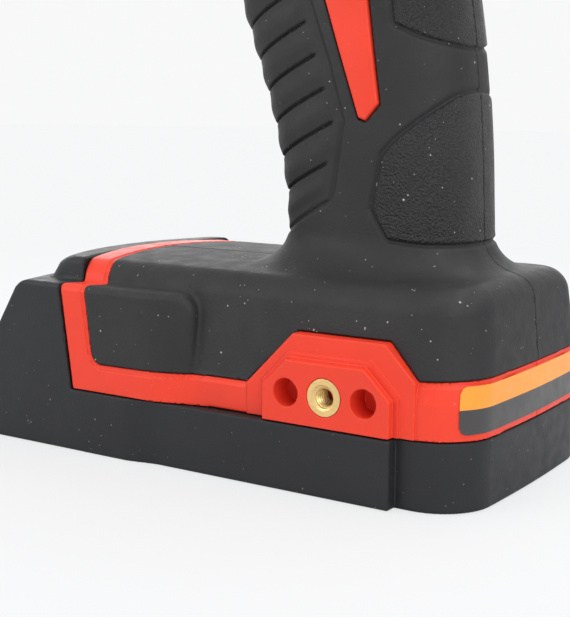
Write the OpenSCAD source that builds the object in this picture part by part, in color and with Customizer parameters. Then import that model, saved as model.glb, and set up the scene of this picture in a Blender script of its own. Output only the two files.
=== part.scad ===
// Cordless drill with a slide-on battery pack.
// Frame: +X along the chuck axis towards the chuck, +Y to the user's left, +Z up,
// origin in the middle of the length and width, on the resting face of the pack.

/* [Overall] */
// Height of the chuck axis above the resting face
axis_z = 178; // [176:1:180]
// Rearmost and foremost reach of the tool along the chuck axis, from the origin
reach = 93; // [93:1:95]

/* [Foot and handle] */
// Height of the joint between the pack's lower case and the foot
pack_top_z = 15.3; // [15:0.1:15.6]
// Height of the foot's flat top
foot_top_z = 46.5; // [46:0.5:47]
// Half width of the foot behind the clip boss
foot_half_w = 34; // [33.5:0.5:34.5]
// Half width of the flared front of the foot
flank_half_w = 37.8; // [37.4:0.1:38]
// Half width of the handle
handle_half_w = 18.5; // [18:0.5:19]
// Thickness of the soft overmould
skin = 1.8; // [1.6:0.1:2]

/* [Motor and gears] */
// Outer radius of the motor housing
barrel_r = 31; // [31:0.5:32]
// Gear module
gear_m = 0.75; // [0.74:0.01:0.76]
// Teeth on both ring gears
ring_teeth = 48; // [48:1:48]
// Teeth on the motor pinion and on the second sun
sun_teeth = [12, 18]; // pairs that leave a whole planet size
// Face width of the gears
gear_w = 7; // [6:0.5:7.5]

/* [Chuck] */
// Outer radius of the chuck sleeve
sleeve_r = 21.5; // [21:0.5:22]
// Radius that the jaws grip as stored
grip_r = 3.25; // [3:0.05:3.4]
// Lean of the jaws to the chuck axis
jaw_lean = 15; // [14:0.5:16]

/* [Pack] */
// Half width of the pack's lower case
pack_half_w = 37; // [36.8:0.1:37.2]
// Half width of the pack's wide front block
block_half_w = 38.5; // [38.3:0.1:38.6]

/* [Hidden] */
$fn = 64;

red = [0.88, 0.2, 0.12];
black = [0.16, 0.16, 0.17];
dark = [0.1, 0.1, 0.11];
steel = [0.6, 0.61, 0.63];
brass = [0.85, 0.68, 0.35];

eps = 0.01;
far = 300;
gap = 0.05;        // between moulded skins that touch
run = 0.05;        // running fit of shafts and sliding pieces
free = 0.4;        // room round pieces that move past each other

// Foot outline, rear to front
foot_rear_x = -86.8;
foot_rear_bow = 1.2;
foot_corner_r = 12;
foot_front_x = 16;
front_bow = 8.5;   // how far the front edge bulges at the middle
strip_w = 8;       // width of the red strip over the foot's front
step_x = -71;      // where the pack's side steps in
flare_x = [-21, -8];
flank_x = -18.5;   // rear edge of the raised flank
shoulder_z = 40.5;
shoulder_half_w = 31;
band_z = 22.7;     // top of the red band along the sides
rear_band_z = 28.3;

// ---------- plan outlines ----------

// Bow of an edge at y, for an edge of half width w
function bow(y, w) = 1 - pow(y / w, 2);

// Half outline of the foot, y >= 0, running from the rear middle to the front middle
function foot_half(w, inset, front_x, flare) =
    let (hw = w - inset, xr = foot_rear_x + inset, rc = max(foot_corner_r - inset, 2))
    concat(
        [for (i = [0:4]) let (y = (hw - rc) * i / 4)
            [xr - foot_rear_bow * bow(y, hw), y]],
        [for (i = [1:5]) let (a = 180 - 90 * i / 5)
            [xr - foot_rear_bow * bow(hw - rc, hw) + rc + rc * cos(a), hw - rc + rc * sin(a)]],
        [[flare_x[0], hw], [(flare_x[0] + flare_x[1]) / 2, hw + flare / 2], [flare_x[1], hw + flare]],
        [for (i = [0:6]) let (y = (hw + flare) * (1 - i / 6))
            [front_x + front_bow * bow(y, hw + flare), y]]);

function mirrored(pts) = concat(pts, [for (i = [len(pts) - 2:-1:1]) [pts[i][0], -pts[i][1]]]);

module slab(z, thick, pts) {
    translate([0, 0, z]) linear_extrude(thick) polygon(mirrored(pts));
}

// The foot as one solid, shrunk by inset, from the joint with the pack to its top
module foot_solid(inset, front_x) {
    top = foot_top_z - inset;
    hull() {
        slab(pack_top_z, 1, foot_half(foot_half_w, inset, front_x, 0));
        slab(28, 1, foot_half(foot_half_w - 0.4, inset, front_x, 0));
        slab(top - 7, 1, foot_half(foot_half_w - 2, inset + 0.8, front_x, 0));
    }
    hull() {
        slab(top - 7, 1, foot_half(foot_half_w - 2, inset + 0.8, front_x, 0));
        slab(top - 3, 0.5, foot_half(foot_half_w - 3.2, inset + 1.8, front_x, 0));
        slab(top - 0.6, 0.6, foot_half(foot_half_w - 5.5, inset + 4, front_x, 0));
    }
    intersection() {
        hull() {
            slab(pack_top_z, 1, foot_half(foot_half_w, inset, front_x, flank_half_w - foot_half_w));
            slab(shoulder_z - inset - 1, 1,
                foot_half(foot_half_w - 0.6, inset, front_x, flank_half_w - foot_half_w));
        }
        translate([flank_x + inset, -far / 2, 0]) cube([far, far, shoulder_z - inset]);
    }
}

// ---------- handle ----------

function signed_power(c, p) = (c < 0 ? -1 : 1) * pow(abs(c), p);
// Point on a rounded-box curve of half sizes a, b
function rounded(a, b, n, t) = [a * signed_power(cos(t), 2 / n), b * signed_power(sin(t), 2 / n)];

// Rows of the handle, bottom to top: height, middle x, half depth, half width
handle_rows = [
    [44, -49.5, 30, 24.5], [46.5, -49.8, 27.8, 22], [49.5, -50, 25.6, 20], [54, -50.2, 24, 18.7],
    [62, -50, 23.8, handle_half_w - 0.3], [73, -48.7, 24.6, handle_half_w],
    [84, -46.8, 25.7, handle_half_w], [96, -44, 27.2, handle_half_w],
    [108, -40.8, 28.6, handle_half_w - 0.3], [120, -37.8, 29.2, handle_half_w - 0.3],
    [132, -34.6, 30, handle_half_w + 0.2], [142, -31.4, 31.7, handle_half_w + 1.5],
    [150, -29, 34, handle_half_w + 4], [160, -28, 36, handle_half_w + 7]];
handle_n = 2.5;
handle_steps = 32;

module handle_solid(inset) {
    rings = [for (r = handle_rows) [for (k = [0:handle_steps - 1])
        let (p = rounded(r[2] - inset, r[3] - inset, handle_n, 360 * k / handle_steps))
        [r[1] + p[0], p[1], r[0]]]];
    n = handle_steps;
    m = len(rings);
    polyhedron(points = [for (r = rings) each r], convexity = 4, faces = concat(
        [[for (k = [0:n - 1]) k]],
        [for (j = [0:m - 2], k = [0:n - 1])
            [j * n + k, (j + 1) * n + k, (j + 1) * n + (k + 1) % n, j * n + (k + 1) % n]],
        [[for (k = [n - 1:-1:0]) (m - 1) * n + k]]));
}

// ---------- motor housing ----------

barrel_rear_x = -86;
barrel_front_x = 2;
nose_front_x = 22;
nose_r = 28.5;

module along_x(x, length, r1, r2 = -1) {
    translate([x, 0, axis_z]) rotate([0, 90, 0]) cylinder(h = length, r1 = r1, r2 = r2 < 0 ? r1 : r2);
}

module barrel_solid(inset) {
    hull() {
        along_x(barrel_rear_x, 2, barrel_r - 2 - inset);
        along_x(barrel_rear_x + 3, 1, barrel_r - inset);
        along_x(barrel_front_x - 6, 1, barrel_r - inset);
        along_x(barrel_front_x, 1, barrel_r - 0.5 - inset);
    }
    hull() {
        along_x(barrel_front_x - 2, 1, barrel_r - 1 - inset);
        along_x(barrel_front_x + 4, 1, nose_r - inset);
        along_x(nose_front_x - 1, 1, nose_r - 1 - inset);
    }
    // chin that carries the trigger, the direction selector and the work light
    hull() {
        translate([-30, 0, 139 + inset]) rounded_bar(38 - inset, 17.5 - inset, 10);
        translate([-30, 0, 152]) rounded_bar(50 - inset, 21 - inset, 10);
        translate([-20, 0, 158]) rounded_bar(40 - inset, 22 - inset, 4);
    }
}

// Upright bar with round corners, from x = 0 to length
module rounded_bar(length, half_w, height) {
    linear_extrude(height) hull() {
        for (s = [-1, 1]) {
            translate([0, s * (half_w - 6)]) circle(6, $fn = 32);
            translate([length - 6, s * (half_w - 6)]) circle(6, $fn = 32);
        }
    }
}

module tool_solid(inset, front_x) {
    foot_solid(inset, front_x);
    handle_solid(inset);
    barrel_solid(inset);
}

// ---------- overmould region, seen from the side ----------

// Lower edge of the overmould: the top of the red band and of the frame round the clip boss
band_line = [[-120, rear_band_z], [-75.7, 27.5], [-68.5, 35], [-45.7, 35], [-33.3, band_z],
    [flank_x - 1, band_z], [8, 21.8]];
// Red wedge that runs down the handle from the motor housing
wedge = [[-53.3, 79], [-56.3, 83], [-52.6, 105.2], [-47.5, 136], [-30.5, 136], [-42, 105.6], [-51.3, 79.6]];

module overmould_region(wider) {
    rotate([90, 0, 0]) translate([0, 0, -far / 2]) linear_extrude(far) offset(delta = wider)
        difference() {
            polygon(concat(band_line, [[40, 21.8], [40, 70], [20, 70], [20, 147], [-4, 150],
                [-52, 150], [-66, 158], [-70, 178], [-66, 201], [-74, 212], [-120, 212]]));
            polygon(wedge);
        }
}

// Space in front of a line bowed like the foot's front edge, up to the handle
module ahead_of(x, z0, z1) {
    w = flank_half_w;
    translate([0, 0, z0]) linear_extrude(z1 - z0) polygon(concat([[far, -60], [far, 60], [x, 60]],
        [for (i = [0:12]) let (y = w * (1 - i / 6)) [x + front_bow * bow(y, w), y]], [[x, -60]]));
}

// ---------- inside of the housing ----------

tower_front_x = 60;    // past the front of everything, so that the pack slides out
cavity_rear_x = -83;

module housing_cavity() {
    // Bay for the pack's tower, open at the bottom and the front
    translate([cavity_rear_x, -30, pack_top_z - 1]) cube([far, 60, 9.2]);
    translate([9, -33.6, pack_top_z - 1]) cube([far, 67.2, 9.2]);
    // Channel for the tooth of the release latch
    translate([6, -8, 38]) cube([far, 16, 4]);
    translate([cavity_rear_x, -26, pack_top_z]) cube([far, 52, 15]);
    translate([cavity_rear_x, -28.6, 27.9]) cube([far, 57.2, 10.7]);
    // Pocket for the control board, over the bay
    translate([-42, -22, 38]) cube([34, 44, 5]);
    // Handle, motor bay, gear bay
    handle_bay();
    along_x(-90, 66, 26.6);
    along_x(-25, far, 24.1);
    // Trigger slot and chin
    translate([-36, -7.6, 111.6]) cube([60, 15.2, 30.2]);
    translate([-28, -12, 139]) cube([27, 24, 12.6]);
    work_light_place() translate([0, 0, -3]) cylinder(h = 30, r = 4.3, $fn = 24);
    // Direction selector passage
    translate([selector_x - 7 - free, -far / 2, 144 - free]) cube([14 + 2 * free, far, 7 + 2 * free]);
    // Speed selector window
    translate([-28, -8, axis_z + 10]) cube([20.4, 16, 30]);
    // Vents beside the fan and over the motor
    for (s = [-1, 1], k = [0:4])
        translate([-76 + 6 * k, s * 28, axis_z + 4]) rotate([0, 0, 0])
            hull() {
                translate([0, -6, 0]) cube([2.6, 12, 1]);
                translate([3, -6, 13]) cube([2.6, 12, 1]);
            }
}

module handle_bay() {
    rows = [for (r = handle_rows) if (r[0] > 50 && r[0] < 151) r];
    n = 20;
    pts = [for (r = rows) [for (k = [0:n - 1])
        let (p = rounded(r[2] - 5, 12.5, handle_n, 360 * k / n)) [r[1] + p[0], p[1], r[0]]]];
    m = len(pts);
    polyhedron(points = [for (r = pts) each r], convexity = 4, faces = concat(
        [[for (k = [0:n - 1]) k]],
        [for (j = [0:m - 2], k = [0:n - 1])
            [j * n + k, (j + 1) * n + k, (j + 1) * n + (k + 1) % n, j * n + (k + 1) % n]],
        [[for (k = [n - 1:-1:0]) (m - 1) * n + k]]));
    translate([-58, -8, 38]) cube([16, 16, 18]);
}

// ---------- fasteners ----------

screw_places = [[-76, 42.3], [-1.5, 42.3], [-64, 56], [-31, 60], [-59, 146], [-25, 146.3]];
screw_r = 1.75;
head_r = 2.8;
head_depth = 13;   // the heads sit this deep in the right half

module screw_posts(side) {
    for (p = screw_places)
        translate([p[0], 0, p[1]]) rotate([side > 0 ? -90 : 90, 0, 0])
            cylinder(h = post_reach(p), r = 4.6, $fn = 24);
}
function post_reach(p) = p[1] < 50 ? 20 : p[1] < 100 ? 15 : 17;

module screw_holes(side) {
    for (p = screw_places) translate([p[0], 0, p[1]]) {
        rotate([90, 0, 0]) cylinder(h = 2 * head_depth, r = screw_r + 0.1, center = true, $fn = 24);
        if (side < 0) translate([0, -head_depth + 5, 0]) rotate([90, 0, 0])
            cylinder(h = far, r = head_r + 0.3, $fn = 24);
    }
}

module housing_screws() {
    color(steel) for (p = screw_places) translate([p[0], 0, p[1]]) rotate([90, 0, 0]) {
        difference() {
            union() {
                translate([0, 0, -10]) cylinder(h = 18, r = screw_r);
                translate([0, 0, 8 + run]) cylinder(h = 2.4, r = head_r);
            }
            translate([0, 0, 9]) cylinder(h = 3, r = 1.6, $fn = 6);
        }
    }
    // Screws of the gearcase flange
    color(steel) for (a = [45:90:315]) at_angle(nose_front_x + 1.2, flange_screw_r, a) flange_screw(14);
}
flange_screw_r = 25.8;

module flange_screw(length) {
    difference() {
        union() {
            translate([0, 0, -length]) cylinder(h = length, r = 1.3);
            cylinder(h = 1.5, r = 2);
        }
        translate([0, 0, 0.6]) cylinder(h = 2, r = 1, $fn = 6);
    }
}

// Places a child with its z along the chuck axis, at a radius and an angle round the axis
module at_angle(x, r, a) {
    translate([x, r * sin(a), axis_z - r * cos(a)]) rotate([0, 90, 0]) children();
}

// ---------- housing halves and overmoulds ----------

module half_space(side) {
    translate([-far, side > 0 ? 0 : -far, -50]) cube([2 * far, far, 2 * far]);
}

module housing_half(side) {
    intersection() {
        half_space(side);
        difference() {
            union() {
                tool_solid(skin + gap, foot_front_x);
                difference() {
                    tool_solid(0, foot_front_x);
                    difference() {
                        overmould_region(gap);
                        ahead_of(foot_front_x - strip_w + gap, 10, 60);
                    }
                }
                clip_frame(side);
                clip_boss_block(side);
            }
            difference() {
                housing_cavity();
                intersection() {
                    screw_posts(side);
                    tool_solid(3, foot_front_x);
                    translate([-far, -far, 30]) cube([2 * far, 2 * far, far]);
                    difference() {
                        translate([-far, -far, 0]) cube([2 * far, 2 * far, far]);
                        along_x(-84, 60, 26.6);
                        along_x(-25, far, 24.1);
                        translate([cavity_rear_x, -30, 0]) cube([far, 60, 38.6]);
                    }
                }
            }
            screw_holes(side);
            along_x(-reach - 1, reach + barrel_rear_x + 1, 40);
            along_x(nose_front_x, far, 40);
            for (a = [45:90:315]) at_angle(nose_front_x - 13.4, flange_screw_r, a)
                cylinder(h = 20, r = 1.35, $fn = 16);
            clip_holes(side);
        }
    }
}

module left_housing() { color(red) housing_half(1); }
module right_housing() { color(red) housing_half(-1); }

module overmould_half(side) {
    intersection() {
        half_space(side);
        difference() {
            intersection() {
                tool_solid(0, foot_front_x);
                overmould_region(0);
            }
            ahead_of(foot_front_x - strip_w, 10, 60);
            tool_solid(skin, foot_front_x);
            housing_cavity();
            screw_holes(side);
            clip_frame_block(side, gap);
            along_x(-reach - 1, reach + barrel_rear_x + 1, 40);
        }
    }
}

module left_overmould() { color(black) overmould_half(1); }
module right_overmould() { color(black) overmould_half(-1); }

// ---------- belt clip mount ----------

boss_x = [-71, -39.2];
boss_z = [pack_top_z + 0.15, 29.5];
boss_y = [30.85, 37];
boss_chamfer = 6.2;
insert_x = -55.06;
insert_z = 22.2;
insert_r = 4.15;
insert_bore_r = 2.1;
hole_pitch = 19.4;
locate_r = 3.1;

// Side view of the raised boss
boss_outline = [[boss_x[0], boss_z[0]], [boss_x[1], boss_z[0]], [boss_x[1], boss_z[1] - boss_chamfer],
    [boss_x[1] - boss_chamfer, boss_z[1]], [boss_x[0] + boss_chamfer, boss_z[1]],
    [boss_x[0], boss_z[1] - boss_chamfer]];

module side_prism(side, y0, y1, pts) {
    low = min(side * y0, side * y1);
    translate([0, low, 0]) rotate([90, 0, 0]) translate([0, 0, -abs(y1 - y0)])
        linear_extrude(abs(y1 - y0)) polygon(pts);
}

module clip_boss_block(side) { side_prism(side, boss_y[0], boss_y[1], boss_outline); }

// Flat frame of the housing round the boss
module clip_frame_block(side, wider) {
    side_prism(side, 30.8, foot_half_w + 0.6 + (wider > 0 ? 5 : 0), [[-75.7 - wider, boss_z[0]],
        [-33.3 + wider, boss_z[0]], [-33.3 + wider, band_z], [-45.7, 35 + wider],
        [-68.5, 35 + wider], [-75.7 - wider, 27.5]]);
}
module clip_frame(side) { clip_frame_block(side, 0); }

module clip_holes(side) {
    for (s = [-1, 0, 1]) translate([insert_x + s * hole_pitch / 2,
            side * (boss_y[0] + (s == 0 ? 0 : 1)), insert_z])
        rotate([side * -90, 0, 0]) cylinder(h = 20, r = s == 0 ? insert_r + gap : locate_r);
}

module clip_insert(side) {
    color(brass) translate([insert_x, side * (boss_y[0] + gap), insert_z]) rotate([side * -90, 0, 0])
        difference() {
            cylinder(h = boss_y[1] - boss_y[0] - 0.15, r = insert_r);
            translate([0, 0, -1]) cylinder(h = 20, r = insert_bore_r);
        }
}
module left_clip_insert() { clip_insert(1); }
module right_clip_insert() { clip_insert(-1); }

// Blank self-adhesive plate round the rear of the foot
label_x = -79;
module blank_label() {
    color([0.95, 0.6, 0.2]) translate([0, 0, 16.8]) linear_extrude(10.4) intersection() {
        difference() {
            offset(r = 0.4, $fn = 32) polygon(mirrored(foot_half(foot_half_w, 0, foot_front_x, 0)));
            offset(r = 0.06, $fn = 32) polygon(mirrored(foot_half(foot_half_w, 0, foot_front_x, 0)));
        }
        translate([label_x - 40, -far / 2]) square([40, far]);
    }
}

// ---------- rear end of the motor housing ----------

module rear_end_cap() {
    color(black) difference() {
        union() {
            hull() {
                along_x(-reach, 1, 22);
                along_x(-reach + 3, 1, 27);
                along_x(barrel_rear_x - 0.6, 0.5, 28.6);
            }
            along_x(barrel_rear_x - 1, 3, 26.3);
        }
        along_x(-reach + 3, 20, 22.5);
        for (a = [0:30:330]) at_angle(-reach - 1, 18, a) cube([7, 2.4, 12], center = true);
    }
    // Seat of the rear bearing
    color(black) difference() {
        union() {
            along_x(-reach + 3 - eps, 9, 11);
        }
        along_x(-reach + 4, 20, 8 + run);
    }
}

// ---------- motor ----------

stator_r = 26;
bore_r = 14.2;
core_x = [-66, -40];

module stator_core() {
    color(steel) difference() {
        along_x(core_x[0], core_x[1] - core_x[0], stator_r);
        along_x(core_x[0] - 1, 40, bore_r);
        for (k = [0:5]) at_angle(core_x[0] - 1, 18, 60 * k + 30) slot_cutter();
    }
}
module slot_cutter() {
    linear_extrude(40) hull() {
        translate([-2.2, -4]) square([4.4, 8]);
        translate([3, -5.5]) square([1, 11]);
    }
}

module stator_windings() {
    color([0.72, 0.4, 0.2]) for (k = [0:5]) for (x = [core_x[0] - 4.2, core_x[1] + 0.1])
        at_angle(x, 19, 60 * k) linear_extrude(3.6) hull() for (s = [-1, 1], q = [-1, 1])
            translate([q * 2.2, s * 3]) circle(1.4, $fn = 24);
}

module rotor_core() {
    color(steel) difference() {
        along_x(core_x[0] + 0.5, 25, bore_r - 0.7);
        along_x(core_x[0], 40, 2.5 + eps);
        for (k = [0:3]) at_angle(core_x[0], 10.3, 90 * k) translate([-0.9, -4, 0]) cube([1.8, 8, 40]);
    }
}

module motor_shaft() { color(steel) along_x(-88.5, 72.5, 2.5); }

module bearing(x, r_in, r_out, width) {
    difference() {
        along_x(x, width, r_out);
        along_x(x - 1, width + 2, r_in + run);
        difference() {
            along_x(x - 1, 1.6, r_out - 1.4);
            along_x(x - 2, 4, r_in + 1.6);
        }
        difference() {
            along_x(x + width - 0.6, 1.6, r_out - 1.4);
            along_x(x + width - 2, 4, r_in + 1.6);
        }
    }
}

module motor_bearings() {
    color(steel) bearing(-88.5, 2.5, 8, 5);
    color(steel) bearing(-34.5, 2.5, 8, 5);
}

module cooling_fan() {
    color(dark) difference() {
        union() {
            along_x(-75.6, 1.4, 20);
            along_x(-77.5, 6.6, 5);
            for (k = [0:10]) at_angle(-74.3, 13.5, 360 * k / 11) rotate([0, 0, 25])
                translate([-6, -0.6, 0]) cube([11, 1.2, 3.4]);
        }
        along_x(-90, 30, 2.5 + eps);
    }
}

module motor_plate() {
    color(steel) difference() {
        union() {
            along_x(-36, 2, 26);
            along_x(-34.6, 10.4, 10.5);
            along_x(-27, 2.4, 23.8);
            for (a = [0:60:300]) at_angle(-35, 16, a) translate([-6, -1, 0]) cube([12, 2, 9]);
        }
        along_x(-36.5, 20, 6.4);
        along_x(-36.5, 7.1, 8 + run);
    }
}

// ---------- planetary gears ----------

press_angle = 25;
backlash = 0.14;
addendum = 0.88;
dedendum = 1.2;
planet_teeth = [for (s = sun_teeth) (ring_teeth - s) / 2];
orbit = [for (i = [0, 1]) gear_m * (sun_teeth[i] + planet_teeth[i]) / 2];

function roll(base, r) = let (t = sqrt(max(pow(r / base, 2) - 1, 0))) t * 180 / PI - atan(t);
// Half angle of a tooth at radius r; play thins the tooth
function tooth_half(n, r, play) =
    let (pitch = gear_m * n / 2, base = pitch * cos(press_angle))
    90 / n - play / pitch * 90 / PI + roll(base, pitch) - roll(base, max(r, base));

function gear_points(n, add, ded, play) =
    let (pitch = gear_m * n / 2, base = pitch * cos(press_angle),
        tip = pitch + add * gear_m, root = pitch - ded * gear_m,
        low = max(root, base), rs = concat([root], [for (i = [0:3]) low + (tip - low) * i / 3]))
    [for (k = [0:n - 1]) each concat(
        [for (i = [0:4]) let (a = 360 * k / n - tooth_half(n, rs[i], play)) rs[i] * [cos(a), sin(a)]],
        [for (i = [4:-1:0]) let (a = 360 * k / n + tooth_half(n, rs[i], play)) rs[i] * [cos(a), sin(a)]])];

module gear_solid(n, width, play = backlash) {
    linear_extrude(width) polygon(gear_points(n, addendum, dedendum, play));
}

function planet_turn(i, phi) = phi + 180 + phi * sun_teeth[i] / planet_teeth[i] + 180 / planet_teeth[i];
function ring_turn(i) = planet_turn(i, 0) * planet_teeth[i] / ring_teeth;

module ring_gear(i, x, width, outer) {
    translate([x, 0, axis_z]) rotate([0, 90, 0]) difference() {
        cylinder(h = width, r = outer);
        translate([0, 0, -1]) rotate([0, 0, ring_turn(i)]) linear_extrude(width + 2)
            polygon(gear_points(ring_teeth, dedendum, addendum, -backlash));
        for (a = [0:60:300]) rotate([0, 0, a]) translate([outer, 0, -1]) cylinder(h = width + 2,
                r = 1.2, $fn = 24);
    }
}

module planet(i, x, phi) {
    pin_r = 2;
    color(steel) at_angle(x, orbit[i], phi) rotate([0, 0, planet_turn(i, phi)]) difference() {
        gear_solid(planet_teeth[i], gear_w);
        translate([0, 0, -1]) cylinder(h = gear_w + 2, r = pin_r + run);
    }
}

stage_x = [-22.5, -9.5];

module ring_gear_1() { color(steel) ring_gear(0, stage_x[0] - 0.5, gear_w + 1, 21.5); }
module ring_gear_2() { color(steel) ring_gear(1, stage_x[1] - 0.5, gear_w + 1, 21.5); }

module motor_pinion() {
    color(steel) translate([stage_x[0] - 1.5, 0, axis_z]) rotate([0, 90, 0]) difference() {
        gear_solid(sun_teeth[0], gear_w + 1.5);
        translate([0, 0, -1]) cylinder(h = 20, r = 2.5 + eps);
    }
}

module planet_1a() { planet(0, stage_x[0], 0); }
module planet_1b() { planet(0, stage_x[0], 120); }
module planet_1c() { planet(0, stage_x[0], 240); }
module planet_2a() { planet(1, stage_x[1], 0); }
module planet_2b() { planet(1, stage_x[1], 120); }
module planet_2c() { planet(1, stage_x[1], 240); }

module carrier_disc(i, x, thick) {
    along_x(x, thick, orbit[i] + 4.2);
    for (a = [0, 120, 240]) at_angle(x - gear_w - 0.6, orbit[i], a) cylinder(h = gear_w + 1, r = 2);
}

module carrier_1() {
    color(steel) {
        carrier_disc(0, stage_x[0] + gear_w + 0.5, 3);
        translate([stage_x[0] + gear_w + 3, 0, axis_z]) rotate([0, 90, 0])
            gear_solid(sun_teeth[1], gear_w + 3);
    }
}

spindle_r = 6;
module output_spindle() {
    color(steel) difference() {
        union() {
            carrier_disc(1, stage_x[1] + gear_w + 0.9, 4);
            along_x(stage_x[1] + gear_w + 4, 60 - stage_x[1] - gear_w - 4, spindle_r);
        }
        along_x(50, 20, 2.55);
    }
}

module spindle_bearing() {
    color(steel) bearing(33, spindle_r, 12, 8);
    color([0.75, 0.6, 0.35]) difference() {
        along_x(12, 6, 9);
        along_x(11, 8, spindle_r + run);
    }
}

// ---------- gearcase, clutch and speed selector ----------

module gearcase() {
    color([0.32, 0.33, 0.34]) difference() {
        union() {
            along_x(-24.6, 47, 24);
            along_x(nose_front_x + 0.1, 2.8, 28);
            along_x(nose_front_x, 20, 14.2);
        }
        along_x(-25, 37, 21.9);
        along_x(11, 7.2, 9 + eps);
        along_x(10, far, spindle_r + 1);
        along_x(33, 20, 12 + eps);
        for (a = [45:90:315]) {
            at_angle(nose_front_x - 13, flange_screw_r, a) cylinder(h = 30, r = 1.35);
            at_angle(nose_front_x + 1.15, flange_screw_r, a) cylinder(h = 5, r = 2.1);
        }
        // Slot for the shift fork
        translate([-20, -4, axis_z + 15]) cube([26, 8, 30]);
    }
    // Keys that hold the ring gears still, the second one only in its forward place; the fork's
    // slot takes the place of the sixth
    color([0.32, 0.33, 0.34]) for (a = [240:60:480]) {
        at_angle(stage_x[0] - 0.5, 21.9, a) cylinder(h = gear_w + 1, r = 0.9, $fn = 24);
        at_angle(stage_x[1] + gear_w - 3, 21.9, a) cylinder(h = 3.5, r = 0.9, $fn = 24);
    }
}

module speed_selector() {
    color(black) difference() {
        union() {
            hull() {
                translate([-23, -7.5, axis_z + barrel_r - 0.8]) cube([15, 15, 1.2]);
                translate([-21.5, -6.5, axis_z + barrel_r + 0.8]) cube([12, 13, 0.7]);
            }
            translate([-22.5, -6, axis_z + 26.5]) cube([14, 12, 4.6]);
        }
        for (k = [0:4]) translate([-20 + 2.2 * k, -8, axis_z + barrel_r + 0.9]) cube([0.9, 16, 2]);
    }
}
module shift_fork() {
    color(steel) difference() {
        translate([-11, -2, axis_z + 21.6]) cube([2.4, 4, 4.85]);
        translate([-20, 0, axis_z]) rotate([0, 90, 0]) cylinder(h = 10, r = 21.6);
    }
}

collar_x = [nose_front_x + 3.4, 47];
collar_r = 26;
module clutch_collar() {
    color(black) difference() {
        union() {
            hull() {
                along_x(collar_x[0], 1, collar_r - 0.8);
                along_x(collar_x[0] + 2, 13, collar_r);
                along_x(collar_x[1] - 4, 4, collar_r - 3.5);
            }
        }
        along_x(collar_x[0] - 1, 19, 21.5);
        along_x(collar_x[0], far, 14.7);
        for (k = [0:23]) at_angle(collar_x[0] + 4, collar_r + 0.7, 15 * k) cylinder(h = 12.5, r = 1.5,
                $fn = 16);
    }
}
module clutch_spring() {
    // Ten turns of flat wire, drawn as separate rings
    color(steel) for (k = [0:6]) difference() {
        along_x(collar_x[0] + 1.2 + 2.3 * k, 1.2, 18);
        along_x(collar_x[0], 25, 15.4);
    }
}

// ---------- chuck ----------

chuck_x = 49;
jaw_r = 3.6;
jaw_front = 42;          // tip of the jaws, from the rear of the chuck
jaw_front_radius = 4;    // radius of the jaw's axis there
jaw_back = 16;

module jaw_place(phi) {
    translate([chuck_x, 0, axis_z]) rotate([0, 90, 0]) rotate([0, 0, phi])
        translate([jaw_front_radius, 0, jaw_front]) rotate([0, -jaw_lean, 0]) children();
}

module chuck_body() {
    color(steel) difference() {
        union() {
            along_x(chuck_x, 12, 18);
            along_x(chuck_x + 12, 20, 15.2);
            along_x(chuck_x + 32, 9, 15.2, 11);
        }
        along_x(chuck_x + 11, far, 6.6);
        along_x(chuck_x - 1, 20, spindle_r + eps);
        for (phi = [0, 120, 240]) jaw_place(phi) translate([0, 0, -42]) cylinder(h = 60, r = jaw_r + run);
    }
}

module jaw(phi) {
    color(dark) intersection() {
        difference() {
            jaw_place(phi) translate([0, 0, -(jaw_front - jaw_back)]) cylinder(h = 40, r = jaw_r);
            along_x(chuck_x, 60, grip_r);
        }
        // A third of the circle, less the gap to its neighbours, cut square at the tip
        translate([chuck_x, 0, axis_z]) rotate([0, 90, 0]) rotate([0, 0, phi])
            linear_extrude(jaw_front + 1.6) polygon([[2.4, 0], [30, 47.7], [30, -47.7]]);
    }
}
module jaw_a() { jaw(0); }
module jaw_b() { jaw(120); }
module jaw_c() { jaw(240); }

module chuck_screw() {
    color(steel) difference() {
        union() {
            along_x(chuck_x + 11.1, 3, 5);
            along_x(chuck_x + 2, 9.2, 2.5);
        }
        along_x(chuck_x + 12.6, 5, 2);
    }
}

module chuck_sleeve() {
    color(black) difference() {
        union() {
            hull() {
                along_x(chuck_x + 1, 1, sleeve_r - 1);
                along_x(chuck_x + 3, 26, sleeve_r);
                along_x(chuck_x + 34, 1, sleeve_r - 3.5);
            }
            along_x(chuck_x + 34.5, reach - chuck_x - 34.5 - 2.4, sleeve_r - 3.5, 14.5);
        }
        along_x(chuck_x, 31, 19);
        along_x(chuck_x + 30, far, 15.6);
        for (k = [0:17]) at_angle(chuck_x + 5, sleeve_r + 0.8, 20 * k) cylinder(h = 22, r = 1.6, $fn = 16);
    }
}

module chuck_nut() {
    color(steel) difference() {
        along_x(chuck_x + 15.5, 7, 18.8);
        along_x(chuck_x + 10, 20, 15.2 + run);
    }
}

// ---------- trigger, switch, selector, light ----------

trigger_w = 14;
trigger_x = -9;          // rear wall of the trigger
switch_x = [-34, -17];
module trigger() {
    color(red) difference() {
        translate([0, trigger_w / 2, 0]) rotate([90, 0, 0]) linear_extrude(trigger_w) polygon(concat(
            [[trigger_x, 113], [5, 113]],
            [for (i = [0:8]) let (t = i / 8) [6.5 + 8 * t - 5.5 * sin(180 * t), 114 + 27 * t]],
            [[trigger_x, 141]]));
        translate([trigger_x + 2.5, -5.5, 116]) cube([8, 11, 22]);
    }
    // Finger that works the switch
    color(red) translate([-22, -2.5, 125]) cube([trigger_x + 1 + 22, 5, 5]);
}

module trigger_spring() {
    color(steel) for (k = [0:4]) translate([switch_x[1] + 0.3 + 1.65 * k, 0, 119.5]) rotate([0, 90, 0])
        difference() {
            cylinder(h = 0.7, r = 2.6, $fn = 32);
            translate([0, 0, -1]) cylinder(h = 3, r = 1.8, $fn = 32);
        }
}

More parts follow.
